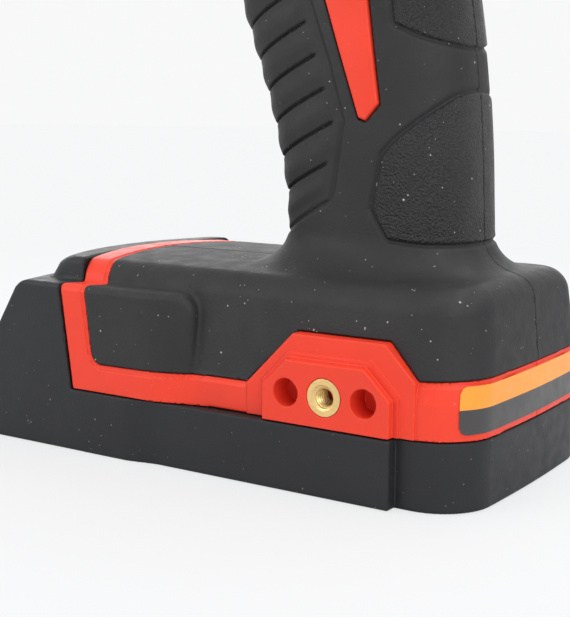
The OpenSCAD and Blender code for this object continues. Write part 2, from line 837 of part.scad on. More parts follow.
module trigger_switch() {
    color(dark) difference() {
        translate([switch_x[0], -8, 112]) cube([switch_x[1] - switch_x[0], 16, 28]);
        translate([-30, -2.9, 124.6]) cube([20, 5.8, 5.8]);
    }
}

selector_x = -10;
module direction_selector() {
    color(black) translate([selector_x, 0, 0]) {
        translate([-6, -22.5, 144.6]) cube([12, 45, 5.8]);
        for (s = [-1, 1]) hull() {
            translate([-7, s * 22.5 - 1, 144]) cube([14, 2, 7]);
            translate([-5, s * 25 - 0.5, 145.5]) cube([10, 1, 4]);
        }
    }
}

module work_light_place() {
    translate([1, 0, 145]) rotate([0, 80, 0]) children();
}
module work_light_lens() {
    color([0.9, 0.93, 0.95]) work_light_place() translate([0, 0, 3]) cylinder(h = 5, r = 4);
}
module light_board() {
    color([0.95, 0.85, 0.3]) work_light_place() {
        translate([0, 0, -1]) cylinder(h = 1.2, r = 3.6);
        translate([-1.2, -1.2, 0.2]) cube([2.4, 2.4, 1]);
    }
}

module control_board() {
    color([0.15, 0.3, 0.2]) translate([-40, -20, 39.4]) cube([30, 40, 1.6]);
    color(dark) for (k = [0:2]) translate([-38 + 9 * k, -14, 41]) cube([6, 9, 1.4]);
    color(dark) translate([-38, 2, 41]) cube([24, 13, 1.4]);
}

blade_y = [-16, -6, 6, 16];
module terminal_block() {
    color(dark) difference() {
        translate([cavity_rear_x + 0.2, -22, 26]) cube([7, 44, 11]);
        for (y = blade_y) translate([-80, y - 0.5, 28]) cube([20, 1, 6]);
    }
}
module terminal_blades() {
    color(brass) for (y = blade_y) translate([-79, y - 0.4, 28.2]) cube([14, 0.8, 5.6]);
}

module wiring() {
    color([0.75, 0.12, 0.1]) for (s = [-1, 1]) translate([-50, s * 4, 42]) cylinder(h = 70, r = 1.2,
            $fn = 24);
    color([0.9, 0.9, 0.88]) for (s = [-1, 0, 1]) translate([-46, s * 5, 42]) cylinder(h = 108, r = 0.9,
            $fn = 24);
}

// ---------- battery pack ----------

block_rear_x = 12.5;
module pack_lower_outline(inset) {
    hw = pack_half_w - inset;
    rear_hw = foot_half_w - inset;
    xr = foot_rear_x + inset;
    rc = foot_corner_r - inset;
    half = concat(
        [for (i = [0:4]) let (y = (rear_hw - rc) * i / 4) [xr - foot_rear_bow * bow(y, rear_hw), y]],
        [for (i = [1:6]) let (a = 180 - 15 * i)
            [xr - foot_rear_bow * bow(rear_hw - rc, rear_hw) + rc + rc * cos(a),
                    rear_hw - rc + rc * sin(a)]],
        [[step_x + inset, rear_hw], [step_x + inset, hw], [-10, hw], [0, block_half_w - inset]]);
    polygon(mirrored(concat(half, [for (i = [0:6]) let (y = (block_half_w - inset) * (1 - i / 6))
        [39 - inset + front_bow * bow(y, block_half_w), y]])));
}
block_bow = 5.5;

module front_block_solid(inset) {
    hull() {
        for (r = [[0, 49], [4, 51], [13, 49.8], [25, 43.5], [shoulder_z - 2, 34.5], [shoulder_z - 0.6,
                32.5]])
            translate([0, 0, min(r[0] + inset, shoulder_z - 0.6 - inset)]) linear_extrude(0.6)
                polygon(mirrored(concat([[block_rear_x + inset, 0], [block_rear_x + inset,
                        block_half_w - inset]],
                    [for (i = [0:6]) let (y = (block_half_w - inset) * (1 - i / 6))
                        [r[1] - inset + block_bow * bow(y, block_half_w), y]])));
    }
    hull() {
        for (r = [[30, 36], [shoulder_z, 29.5], [foot_top_z - 1.6, 26.5], [foot_top_z - 0.6, 23.5]])
            translate([0, 0, r[0] - (r[0] > shoulder_z ? inset : 0)]) linear_extrude(0.6)
                polygon(mirrored(concat([[block_rear_x + inset, 0],
                    [block_rear_x + inset, shoulder_half_w - inset - (r[0] > 45 ? 2 : 0)]],
                    [for (i = [0:6]) let (y = (shoulder_half_w - inset - (r[0] > 45 ? 2 : 0)) * (1 - i / 6))
                        [r[1] - inset + front_bow * bow(y, shoulder_half_w), y]])));
    }
}

cell_r = 9.2;
cell_len = 65;
cell_z = 11.4;
long_cells_x = -55;            // rear end of the three cells that lie lengthwise
cross_cells_x = [20.7, 39.5];  // middles of the two cells that lie across

module pack_base() {
    color(black) difference() {
        linear_extrude(pack_top_z - 0.1) pack_lower_outline(0);
        translate([0, 0, 2]) linear_extrude(pack_top_z) intersection() {
            pack_lower_outline(2.2);
            translate([-84.6, -34.8]) square([106, 69.6]);
        }
        translate([block_rear_x - 0.1, -far / 2, -1]) cube([far, far, far]);
        for (y = screw_y) translate([pack_screw_x, y, -1]) cylinder(h = 3.8, r = 3);
    }
    color(black) for (y = screw_y) translate([pack_screw_x, y, 0]) difference() {
        translate([0, 0, 1.9]) cylinder(h = pack_top_z - 2.1, r = 4.2);
        translate([0, 0, 1]) cylinder(h = 30, r = 1.6);
        translate([0, 0, -1]) cylinder(h = 3.8, r = 3);
    }
}
pack_screw_x = -70;
screw_y = [-22, 22];

module pack_screws() {
    color(steel) for (y = screw_y) translate([pack_screw_x, y, 0]) difference() {
        union() {
            translate([0, 0, 0.9]) cylinder(h = 1.8, r = 2.7);
            translate([0, 0, 2.6]) cylinder(h = 17, r = 1.45);
        }
        translate([0, 0, 0]) cylinder(h = 2, r = 1.3, $fn = 6);
    }
}

tower_rear_x = -72;
module pack_cover() {
    color(black) difference() {
        union() {
            difference() {
                front_block_solid(0);
                // Where the foot of the tool stands
                translate([-50, -far / 2, pack_top_z]) difference() {
                    cube([90, far, far]);
                    translate([50, far / 2, -pack_top_z]) ahead_of(foot_front_x + 0.5, 0, 60);
                }
            }
            translate([-82.4, -29.6, pack_top_z]) cube([95, 59.2, 7.4]);
            translate([10, -33.3, pack_top_z]) cube([20, 66.6, 7.4]);
            translate([tower_rear_x, -25.6, 22]) cube([101, 51.2, 8]);
            translate([tower_rear_x, -28.2, 28.2]) cube([100, 56.4, 9.6]);
        }
        cell_room();
        // Room for the control electronics of the pack
        translate([-58, -23, 22]) cube([62, 46, 13.6]);
        // Slots for the tool's blades
        for (y = blade_y) {
            translate([tower_rear_x - 1, y - 0.8, 27]) cube([13, 1.6, 8]);
            translate([-69.5, y - 1.6, 26.8]) cube([12, 3.2, 8]);
        }
        // Pocket of the release latch and of the gauge
        translate([25, -15, 22.6]) cube([40, 30, 11]);
        translate([6, -8, 22.6]) cube([22, 16, 10]);
        translate([6.5, -8, 30]) cube([9, 16, 30]);
        translate([50, -10.4, 5.4]) cube([20, 21, 8.6]);
        for (y = screw_y) translate([pack_screw_x, y, 10]) cylinder(h = 10.5, r = 1.5);
    }
}
module cell_room() {
    translate([long_cells_x - 1.4, -28.6, pack_top_z - 1]) cube([67.6, 57.2, 6.8]);
    for (x = cross_cells_x) translate([x, 0, cell_z]) rotate([90, 0, 0])
        cylinder(h = 65.6, r = cell_r + 0.4, center = true);
    translate([10.8, -32.4, 2.6]) cube([cross_cells_x[1] - 10.8, 64.8, 17.6]);
}

module pack_cells() {
    color([0.35, 0.55, 0.75]) {
        for (y = [-18.8, 0, 18.8]) translate([long_cells_x, y, cell_z]) rotate([0, 90, 0])
            cylinder(h = cell_len, r = cell_r);
        for (x = cross_cells_x) translate([x, 0, cell_z]) rotate([90, 0, 0])
            cylinder(h = cell_len, r = cell_r, center = true);
    }
}

module pack_board() {
    color([0.15, 0.3, 0.2]) translate([-56, -21, 23]) cube([58, 42, 1.6]);
    color(dark) for (k = [0:3]) translate([-48 + 12 * k, -12, 24.6]) cube([7, 8, 1.8]);
}

module pack_contacts() {
    color(brass) for (y = blade_y) for (s = [-1, 1])
        translate([-68.5, y + s * 0.85 - 0.3, 27.5]) cube([6, 0.6, 6]);
}

module release_latch() {
    color(black) {
        hull() {
            translate([36, -13, 27]) cube([9.6, 26, 0.6]);
            translate([34, -13, 32.4]) cube([7.4, 26, 0.8]);
        }
        translate([8, -7, 27.5]) cube([29, 14, 4]);
        translate([8, -7, 27.5]) cube([6, 14, 13.6]);
    }
}
module latch_spring() {
    color(steel) for (k = [0:3]) translate([22, 0, 22.8 + 1.2 * k]) difference() {
        cylinder(h = 0.7, r = 3, $fn = 32);
        translate([0, 0, -1]) cylinder(h = 3, r = 2.1, $fn = 32);
    }
}
module gauge_window() {
    color([0.5, 0.5, 0.52]) translate([50.2, -10, 5.8]) cube([4.6, 12, 7.8]);
}
module gauge_button() {
    color([0.6, 0.6, 0.62]) translate([51.2, 6.4, 9.7]) rotate([0, 90, 0]) cylinder(h = 4.4, r = 3);
}

left_housing();
right_housing();
left_overmould();
right_overmould();
left_clip_insert();
right_clip_insert();
housing_screws();
rear_end_cap();
blank_label();
work_light_lens();
light_board();
trigger_switch();
control_board();
terminal_block();
terminal_blades();
wiring();
gearcase();
ring_gear_1();
stator_core();
stator_windings();
motor_plate();
motor_bearings();
spindle_bearing();
trigger();
trigger_spring();
direction_selector();
speed_selector();
shift_fork();
ring_gear_2();
clutch_collar();
clutch_spring();
rotor_core();
motor_shaft();
cooling_fan();
motor_pinion();
carrier_1();
planet_1a();
planet_1b();
planet_1c();
planet_2a();
planet_2b();
planet_2c();
output_spindle();
chuck_body();
chuck_screw();
chuck_sleeve();
chuck_nut();
jaw_a();
jaw_b();
jaw_c();
pack_base();
pack_cover();
pack_cells();
pack_board();
pack_contacts();
release_latch();
gauge_button();
gauge_window();
pack_screws();
latch_spring();
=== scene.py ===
import math

import bmesh
import bpy
import numpy as np
from mathutils import Matrix, Vector


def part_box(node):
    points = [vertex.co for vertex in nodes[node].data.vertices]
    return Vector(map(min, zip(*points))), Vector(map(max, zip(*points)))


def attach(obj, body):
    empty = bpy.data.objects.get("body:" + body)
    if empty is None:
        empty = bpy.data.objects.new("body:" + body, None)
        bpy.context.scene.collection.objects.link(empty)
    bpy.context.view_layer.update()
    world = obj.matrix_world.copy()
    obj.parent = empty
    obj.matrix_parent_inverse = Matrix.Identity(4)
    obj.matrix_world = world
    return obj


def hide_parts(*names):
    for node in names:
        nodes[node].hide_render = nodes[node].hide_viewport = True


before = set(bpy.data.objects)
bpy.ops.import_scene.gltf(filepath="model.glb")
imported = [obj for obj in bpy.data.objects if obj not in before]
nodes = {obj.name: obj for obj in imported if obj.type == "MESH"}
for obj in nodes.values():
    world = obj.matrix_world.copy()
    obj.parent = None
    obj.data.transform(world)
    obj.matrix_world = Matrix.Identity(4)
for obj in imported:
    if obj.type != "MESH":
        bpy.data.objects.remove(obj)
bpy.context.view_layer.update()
MM = 0.001

# ---------- distance fields, in millimetres: below zero inside, above zero outside ----------


def ramp(a, b, v):
    t = np.clip((v - a) / (b - a), 0, 1)
    return t * t * (3 - 2 * t)


def round_and(a, b, r):
    return np.minimum(np.maximum(a, b), -r) + np.hypot(np.maximum(a + r, 0), np.maximum(b + r, 0))


def round_or(a, b, r):
    return -round_and(-a, -b, r)


def block(x, y, z, low, high):
    """A box between two corners."""
    parts = [np.maximum(a - v, v - b) for v, a, b in zip((x, y, z), low, high)]
    return np.maximum(np.maximum(parts[0], parts[1]), parts[2])


def outline(u, v, points):
    """Signed distance to a closed outline in the plane of u and v."""
    near = np.inf
    odd = False
    for (a, b), (c, d) in zip(points, points[1:] + points[:1]):
        eu, ev, pu, pv = c - a, d - b, u - a, v - b
        t = np.clip((pu * eu + pv * ev) / (eu * eu + ev * ev), 0, 1)
        near = np.minimum(near, np.hypot(pu - eu * t, pv - ev * t))
        if d != b:
            odd = odd ^ (((b > v) != (d > v)) & (u < a + eu * pv / ev))
    return np.where(odd, -near, near)


def bow(y, w):
    return 1 - (np.abs(y) / w) ** 2


def along(u, v, a, b, radius):
    """Distance to a rod of that radius between two points of a plane."""
    eu, ev = b[0] - a[0], b[1] - a[1]
    t = np.clip(((u - a[0]) * eu + (v - a[1]) * ev) / (eu * eu + ev * ev), 0, 1)
    return np.hypot(u - a[0] - eu * t, v - a[1] - ev * t) - radius


# ---------- driving sizes, read from the frame ----------

low_foot, high_foot = [np.array(c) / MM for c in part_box("left_housing")]
low_pack, high_pack = [np.array(c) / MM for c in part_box("pack_base")]
PACK_TOP = high_pack[2]                  # where the pack ends and the foot begins
BASE_Z = PACK_TOP + 0.22                 # a dark gap shows between them
BARREL_R = 31.0
AXIS_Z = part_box("chuck_sleeve")[0][2] / MM / 2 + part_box("chuck_sleeve")[1][2] / MM / 2
FOOT_W, FLANK_W, REAR_X, CORNER_R = 34.0, 37.8, -88.0, 12.0
FRONT_X, FRONT_BOW, STRIP_W, TOP_Z = 15.0, 8.5, 7.6, 47.0
BAND_Z, REAR_BAND_Z, SHOULDER_Z = 22.7, 28.3, 40.8
SKIN = 1.8                               # thickness of the rubber skin
SEAM = 0.05                              # half the gap between left and right

# ---------- the tool's outer shape ----------

HANDLE = np.array([  # height, middle, half depth and half width of the grip
    [40, -50.0, 24.0, 18.2], [54, -50.2, 24.0, 18.2], [62, -50.0, 23.8, 18.2], [73, -48.7, 24.6, 18.5],
    [84, -46.8, 25.7, 18.5], [96, -44.0, 27.2, 18.5], [108, -40.8, 28.6, 18.2], [120, -37.8, 29.2, 18.2],
    [132, -34.6, 30.0, 18.7], [142, -31.4, 31.7, 20.0], [150, -29.0, 34.0, 22.5], [160, -28.0, 36.0, 25.5]])


def handle_row(z, column):
    return sum(np.interp(z + d, HANDLE[:, 0], HANDLE[:, column]) for d in (-4, -2, 0, 2, 4)) / 5


def handle(x, y, z, n=2.6):
    middle, depth, width = (handle_row(z, i) for i in (1, 2, 3))
    p, q = np.abs(x - middle) / depth, np.abs(y) / width
    h = (p ** n + q ** n + 1e-9) ** (1 / n)
    steep = h ** (1 - n) * np.hypot(p ** (n - 1) / depth, q ** (n - 1) / width)
    return np.maximum(np.maximum((h - 1) / np.maximum(steep, 0.02), 40 - z), z - 160)


def foot_side(z):
    return FOOT_W - 0.16 * np.maximum(z - BAND_Z, 0)


def foot_front(y, z):
    lean = 1 + 0.15 * (np.minimum(z, SHOULDER_Z) - PACK_TOP)
    return FRONT_X + FRONT_BOW * bow(y, FLANK_W) + ramp(31, 37.5, np.abs(y)) * lean


def flank_half_width(x, z):
    return 34.2 + (FLANK_W - 34.2) * ramp(-25, -6, x) - 0.02 * (z - 22)


def foot_plan(x, y, z):
    rear = REAR_X + 1.2 * (np.abs(y) / FOOT_W) ** 2 + 0.1 * np.maximum(z - REAR_BAND_Z, 0) - x
    return round_and(np.abs(y) - foot_side(z), rear, CORNER_R)


def foot(x, y, z):
    side = np.abs(y) - flank_half_width(x, z)
    body = round_and(foot_plan(x, y, z), z - (TOP_Z - 1.2 * (np.abs(y) / 30) ** 2), 5.0)
    panel = round_and(round_and(z - SHOULDER_Z, -18.5 - x, 5.0), side, 1.8)
    band = np.maximum(round_and(side, z - BAND_Z, 0.5), -34 - x)
    both = round_or(body, np.minimum(panel, band), 0.9)
    return np.maximum(round_and(both, x - foot_front(y, z), 0.6), BASE_Z - z)


def barrel(x, y, z):
    r = np.hypot(y, z - AXIS_Z)
    profile = np.interp(x, [-86, -84, -83, -4, 2, 6, 21, 22], [29, 29, 31, 31, 30.5, 28.5, 27.6, 27.5])
    return np.maximum(np.maximum(r - profile, -86 - x), x - 22)


def chin(x, y, z):
    front = np.interp(z, [139, 152], [8, 20])
    half = np.interp(z, [139, 152, 158], [17.5, 21, 22])
    plan = round_and(np.abs(y) - half, x - front, 6.0)
    return np.maximum(np.maximum(plan, -30 - x), np.maximum(139 - z, z - 162))


def lower_body(x, y, z):
    return round_or(foot(x, y, z), handle(x, y, z), 9.0)


def upper_body(x, y, z):
    return round_or(handle(x, y, z), np.minimum(barrel(x, y, z), chin(x, y, z)), 1.5)


def whole_body(x, y, z):
    return round_or(lower_body(x, y, z), np.minimum(barrel(x, y, z), chin(x, y, z)), 1.5)


# ---------- outlines seen from the side: x and height ----------

BAND_LINE = [(-120, REAR_BAND_Z + 1.2), (-75.7, 27.6), (-68.5, 35), (-45.7, 35), (-33.3, BAND_Z),
             (40, 21.8)]
RUBBER = BAND_LINE + [(40, 70), (20, 70), (20, 147), (-4, 150), (-52, 150), (-66, 158), (-70, 178),
                      (-66, 201), (-74, 212), (-120, 212)]
WEDGE = [(-53.6, 80), (-56.8, 83.8), (-53.5, 105.4), (-48.5, 136), (-31, 136), (-42.9, 105.8), (-51.7, 80.6)]
FRONT_GRIP = [(-30.6, 55.2), (-44.4, 62.4), (-45.3, 64.7), (-47.8, 80.1), (-44, 92.7), (-38.9, 106),
              (-33.5, 118.5), (-27, 124), (20, 124), (20, 30)]
LOWER_PAD = [(-110, 52.6), (-66.1, 53.4), (-58.8, 54.3), (-54.8, 60.9), (-57.3, 73.2), (-60.1, 76.4),
             (-68.3, 83.5), (-71.6, 86.9), (-74, 88.1), (-110, 88.4)]
UPPER_PAD = [(-110, 95.6), (-71.2, 95.7), (-64.6, 98), (-58.8, 100.8), (-58, 105.4), (-53, 134),
             (-58, 143), (-110, 146)]
FRAME_LINE = [(-75.7, 10), (-75.7, 27.5), (-68.5, 34.9), (-45.7, 34.9), (-33.5, BAND_Z), (-33.5, 10)]
CLIP_X, CLIP_Z, CLIP_PITCH = (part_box("left_clip_insert")[0][0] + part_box("left_clip_insert")[1][0]) / 2 / MM, \
    (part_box("left_clip_insert")[0][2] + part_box("left_clip_insert")[1][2]) / 2 / MM, 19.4
BOSS = (-71.0, -39.2, 29.5, 6.2)         # rear, front, top and chamfer of the raised boss
FRAME_Y, STEP_Y, BOSS_Y = 34.7, 35.15, 36.95
RIB_SLANT, RIB_PITCH, RIB_START = 0.46, 8.47, 42.2
SCREWS = [(-76, 42.3), (-1.5, 42.3), (-64, 56), (-31, 60), (-59, 146), (-25, 146.3)]


def boss_line(wider):
    rear, front, top, cut = BOSS
    a, b, c = rear - wider, front + wider, top + wider
    cut += 0.4 * wider
    return [(a, 5), (a, c - cut), (a + cut, c), (b - cut, c), (b, c - cut), (b, 5)]


def groove(distance, depth, width):
    """How far a groove along distance = 0 is cut in."""
    return depth * np.exp(-(distance / width) ** 2)


def grip_relief(x, y, z):
    """Ribs of the front grip and the grooves round the pads: how far the surface sinks."""
    border = outline(x, z, FRONT_GRIP)
    slant = z + RIB_SLANT * x - RIB_START
    phase = (slant / RIB_PITCH) % 1.0
    near = np.minimum(phase, 1 - phase) * RIB_PITCH
    fade = ramp(1.0, 4.5, -border)
    ribs = groove(near, 0.95, 0.34) * ramp(1.8, 3.6, -border) + fade * (0.24 * np.cos(2 * np.pi * (phase + 0.08)) - 0.1)
    pads = np.minimum(outline(x, z, LOWER_PAD), outline(x, z, UPPER_PAD))
    sides = groove(border, 0.5, 0.5) + groove(pads, 0.55, 0.5)
    raised = 0.3 * ramp(0.3, 1.1, -pads)
    return np.where(z < 145, ribs + sides - raised + 0.2, 0) * ramp(47, 52, z)


def pack_bay(x, y, z):
    """Room for the pack's tower and the latch's tooth, kept clear of the foot's round corners."""
    boxes = [((-83, -30, -9), (200, 30, 23.5)), ((9, -33.6, -9), (200, 33.6, 23.5)),
             ((-83, -26, 0), (200, 26, 30.3)), ((-83, -28.6, 27.9), (200, 28.6, 38.6)),
             ((6, -8, 38), (200, 8, 42))]
    room = np.minimum.reduce(np.broadcast_arrays(*[block(x, y, z, a, b) for a, b in boxes]))
    return np.maximum(room, np.where(x < -40, foot_plan(x, y, z) + 3.0, -50))


def openings(x, y, z):
    """Trigger slot, direction selector passage, work light and the vents that the rubber reaches."""
    boxes = [((-36, -7.6, 111.6), (24, 7.6, 141.8)), ((-17.4, -60, 143.6), (-2.6, 60, 151.4))]
    room = np.minimum.reduce(np.broadcast_arrays(*[block(x, y, z, a, b) for a, b in boxes]))
    tilt = math.radians(10)
    lamp = np.hypot(y, (z - 145) * math.cos(tilt) - (x - 1) * math.sin(tilt)) - 4.3
    room = np.minimum(room, np.maximum(lamp, -2 - x))
    for k in range(2):
        lean = x - (-76 + 6 * k + 1.3) - 3 * (z - 182.5) / 13
        vent = np.maximum(np.maximum(np.abs(lean) - 1.3, np.abs(z - 189) - 7), 22 - np.abs(y))
        room = np.minimum(room, vent)
    return room


def screw_wells(x, y, z):
    """Wells of the screw heads, in the right half only."""
    wells = [np.maximum(np.hypot(x - a, z - b) - 3.1, y + 8.0) for a, b in SCREWS]
    return np.minimum.reduce(np.broadcast_arrays(*wells))


def rubber_region(x, y, z):
    """Where the rubber skin shows: below zero inside its edge."""
    side_view = np.maximum(outline(x, z, RUBBER), -outline(x, z, WEDGE))
    strip = np.where(z < 60, x - (foot_front(y, z) - STRIP_W), -50)
    return round_and(side_view, strip, 2.6)


def halved(value, y, side):
    """Cuts a field at the seam, with a fine rounded edge."""
    return round_and(value, SEAM - side * y, 0.25)


def rubber_field(side, body):
    def field(x, y, z):
        outer = body(x, y, z)
        shown = outer + np.where(z > 48, grip_relief(x, y, z), 0)
        skin = round_and(shown, rubber_region(x, y, z) + 0.08, 0.35)
        skin = np.maximum(np.maximum(skin, -(outer + SKIN)), -openings(x, y, z))
        if side < 0:
            skin = np.maximum(skin, -screw_wells(x, y, z))
        return halved(skin, y, side)
    return field


def clip_mount(x, y, z):
    """Frame, step and boss of the belt-clip mount, with its holes."""
    ay = np.abs(y)
    plate = round_and(outline(x, z, FRAME_LINE), ay - FRAME_Y, 0.3)
    step = round_and(outline(x, z, boss_line(1.3)), ay - STEP_Y, 0.12)
    boss = round_and(outline(x, z, boss_line(0)), ay - BOSS_Y, 0.35)
    mount = np.maximum(np.minimum(np.minimum(plate, step), boss), 30 - ay)
    mount = np.maximum(mount, BASE_Z + 0.05 - z)
    for k, r in ((-1, 3.1), (0, 4.2), (1, 3.1)):
        hole = np.maximum(np.hypot(x - CLIP_X - k * CLIP_PITCH / 2, z - CLIP_Z) - r, 30.9 - ay)
        mount = round_and(mount, -hole, 0.22)
    return mount


def clip_bores(x, y, z):
    holes = [np.hypot(x - CLIP_X - k * CLIP_PITCH / 2, z - CLIP_Z) - r for k, r in ((-1, 3.1), (0, 4.2), (1, 3.1))]
    return np.maximum(np.minimum.reduce(holes), 30.9 - np.abs(y))


def red_foot_field(side):
    def field(x, y, z):
        outer = lower_body(x, y, z)
        edge = rubber_region(x, y, z)
        lip = 0.38 * (1 - ramp(0.95, 1.3, edge))
        shown = np.maximum(outer + lip, 0.1 - edge)
        solid = np.minimum(shown, outer + SKIN + 0.06)
        solid = np.maximum(solid, -clip_bores(x, y, z))
        solid = np.minimum(solid, clip_mount(x, y, z))
        solid = np.maximum(np.maximum(solid, -pack_bay(x, y, z)), z - 54)
        if side < 0:
            solid = np.maximum(solid, -screw_wells(x, y, z))
        return halved(solid, y, side)
    return field


def core_field(side):
    """The rigid handle under the rubber skin."""
    def field(x, y, z):
        solid = np.maximum(handle(x, y, z) + SKIN + 0.1, np.maximum(53.9 - z, z - 140))
        bay = handle_row(z, 2) - 5
        hollow = np.maximum(np.abs(x - handle_row(z, 1)) - bay, np.abs(y) - 11)
        solid = np.maximum(np.maximum(solid, -hollow), -openings(x, y, z))
        if side < 0:
            solid = np.maximum(solid, -screw_wells(x, y, z))
        return halved(solid, y, side)
    return field


def wedge_field(side):
    """The red inlay of the handle, a little proud with a bevelled edge."""
    def field(x, y, z):
        plate = round_and(handle(x, y, z) - 0.35, outline(x, z, WEDGE) + 0.3, 0.55)
        return np.maximum(plate, 13 - side * y)
    return field


# ---------- battery pack ----------

BLOCK_REAR = 12.5
BLOCK = np.array([[0, 48.6], [0.8, 49.4], [4, 51], [13, 49.8], [25, 43.5], [38.8, 34.9], [40.4, 32.9], [42, 29]])
TIER = np.array([[30, 36], [40.5, 29.7], [44.6, 26.9], [46.1, 24.6], [47.5, 20]])
BLOCK_W, TIER_W, BLOCK_TOP, TIER_TOP, BLOCK_BOW = 38.5, 31.0, 40.8, 46.5, 5.5


def pack_plan(x, y, inset=0.0):
    ay = np.abs(y)
    rear = REAR_X + 1.2 * (ay / FOOT_W) ** 2 - x
    tail = round_and(ay - FOOT_W, rear, CORNER_R)
    main = np.maximum(ay - (37.0 + 1.5 * ramp(-10, 0, x)), -71.2 - x)
    return np.minimum(tail, main) + inset


def base_field(x, y, z, cut=True):
    shell = round_and(pack_plan(x, y), -z, 0.9)
    shell = round_and(shell, z - (PACK_TOP - 0.02), 0.35)
    room = np.maximum(pack_plan(x, y, 2.2), 2 - z)
    room = np.maximum(np.maximum(room, x - 21.4), -84.6 - x)
    room = np.maximum(room, np.minimum(np.abs(y) - 29.2, z - 13.6))    # a ledge closes the case beside the tower
    shell = np.maximum(shell, -room)
    if cut:
        shell = np.maximum(shell, x - (BLOCK_REAR - 0.01))
    for s in (-1, 1):
        r = np.hypot(x + 70, y - 22 * s)
        post = np.maximum(np.maximum(r - 4.2, 1.9 - z), z - PACK_TOP)
        shell = np.maximum(np.maximum(np.minimum(shell, post), -np.maximum(r - 3, z - 2.8)), 1.6 - r)
    return shell


def front_block(x, y, z, cut=True):
    ay = np.abs(y)
    main = round_and(x - (np.interp(z, BLOCK[:, 0], BLOCK[:, 1]) + BLOCK_BOW * bow(y, BLOCK_W)), ay - BLOCK_W + 0.02 * z, 1.0)
    main = round_and(round_and(main, z - BLOCK_TOP, 1.2), -z, 0.9)
    tier = round_and(x - (np.interp(z, TIER[:, 0], TIER[:, 1]) + FRONT_BOW * bow(y, TIER_W)),
                     ay - TIER_W + 0.15 * np.maximum(z - BLOCK_TOP, 0), 3.0)
    tier = round_and(np.maximum(tier, 30 - z), z - TIER_TOP, 1.5)
    both = np.maximum(round_or(main, tier, 0.8), (BLOCK_REAR if cut else BLOCK_REAR - 2) - x)
    foot_room = np.maximum(x - (foot_front(y, z) + 0.45), PACK_TOP - 0.02 - z)
    return round_and(both, -foot_room, 0.4)


def cover_field(x, y, z, cut=True):
    tower = [((-82.4, -29.6, 15.3), (12.6, 29.6, 22.7)), ((10, -33.3, 15.3), (30, 33.3, 22.7)),
             ((-72, -25.6, 22), (29, 25.6, 30)), ((-72, -28.2, 28.2), (28, 28.2, 37.8))]
    cuts = [((-56.4, -28.6, 1), (11.2, 28.6, 21)), ((10.8, -32.4, 2.6), (39.5, 32.4, 20.2)),
            ((-58, -23, 22), (4, 23, 35.6)), ((25, -15, 22.6), (65, 15, 33.6)), ((6, -8, 22.6), (28, 8, 32.6)),
            ((6.5, -8, 30), (15.5, 8, 60)), ((50, -10.4, 5.4), (70, 10.6, 14))]
    solid = front_block(x, y, z, cut)
    for a, b in tower:
        solid = np.minimum(solid, block(x, y, z, a, b))
    for a, b in cuts:
        solid = np.maximum(solid, -block(x, y, z, a, b))
    for centre in (20.7, 39.5):
        solid = np.maximum(solid, -np.maximum(np.hypot(x - centre, z - 11.4) - 9.6, np.abs(y) - 32.8))
    for y_blade in BLADES:
        solid = np.maximum(solid, -block(x, y, z, (-73, y_blade - 0.8, 27), (-60, y_blade + 0.8, 35)))
        solid = np.maximum(solid, -block(x, y, z, (-69.5, y_blade - 1.6, 26.8), (-57.5, y_blade + 1.6, 34.8)))
    return solid


BLADES = (-16.0, -6.0, 6.0, 16.0)

# ---------- surfaces of the fields ----------

CORNERS = [np.array([i, j, k]) for i in (0, 1) for j in (0, 1) for k in (0, 1)]
EDGES = [(a, b) for a in CORNERS for b in CORNERS if (b - a).sum() == 1 and (b - a).min() == 0]


def gradient(field, p, h=0.06):
    result = np.zeros_like(p)
    for i in range(3):
        d = np.zeros(3)
        d[i] = h
        a, b = p + d, p - d
        result[:, i] = (field(a[:, 0], a[:, 1], a[:, 2]) - field(b[:, 0], b[:, 1], b[:, 2])) / (2 * h)
    return result


def settle_on_cuts(p, shade, cuts, step):
    """Moves the points near a flat cut exactly onto it, along the uncut surface."""
    for axis, place in cuts:
        near = (np.abs(p[:, axis] - place) < 0.75 * step) & (np.abs(shade(*p.T)) < 0.75 * step)
        q = p[near]
        q[:, axis] = place
        for _ in range(3):
            g = gradient(shade, q)
            g[:, axis] = 0
            q = q - shade(*q.T)[:, None] * g / np.maximum((g * g).sum(1), 0.2)[:, None]
        p[near] = q
    return p


